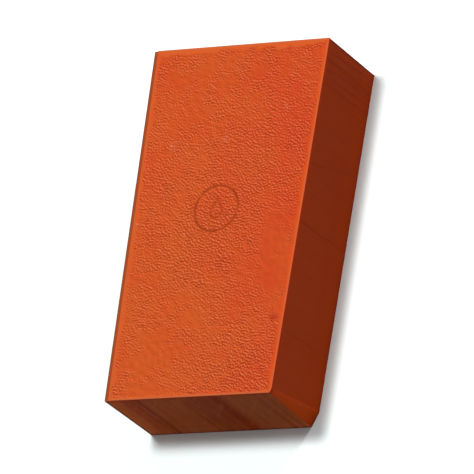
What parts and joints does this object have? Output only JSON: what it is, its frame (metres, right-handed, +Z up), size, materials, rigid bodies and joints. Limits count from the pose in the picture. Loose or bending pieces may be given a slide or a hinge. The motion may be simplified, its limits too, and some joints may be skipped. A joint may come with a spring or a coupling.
{
  "type": "clay bar",
  "caption": "Rectangular block of kneadable detailing clay between two thin grained release films that lift off.",
  "frame": {"origin": "centre of the underside's bounding rectangle, on the surface that the bar rests on", "axes": "+Z up, +Y along the length towards the wide end, +X across the width towards the side with the pared corner"},
  "size_m": [0.0536, 0.1, 0.0254],
  "materials": {
    "clay": "waxy satin, knife-cut",
    "top_film": "semi-gloss, leather grain with a smooth border",
    "bottom_film": "semi-gloss, leather grain"
  },
  "bodies": {
    "bottom_film": {"bottom_film": "bottom_film"},
    "bar": {"clay_block": "clay"},
    "top_film": {"top_film": "top_film"}
  },
  "joints": [
    {"name": "bar_lift", "type": "slide", "parent": "bottom_film", "child": "bar", "axis": [0, 0, 1], "range_m": [0, 0.025]},
    {"name": "top_film_lift", "type": "slide", "parent": "bar", "child": "top_film", "axis": [0, 0, 1], "range_m": [0, 0.025]}
  ]
}
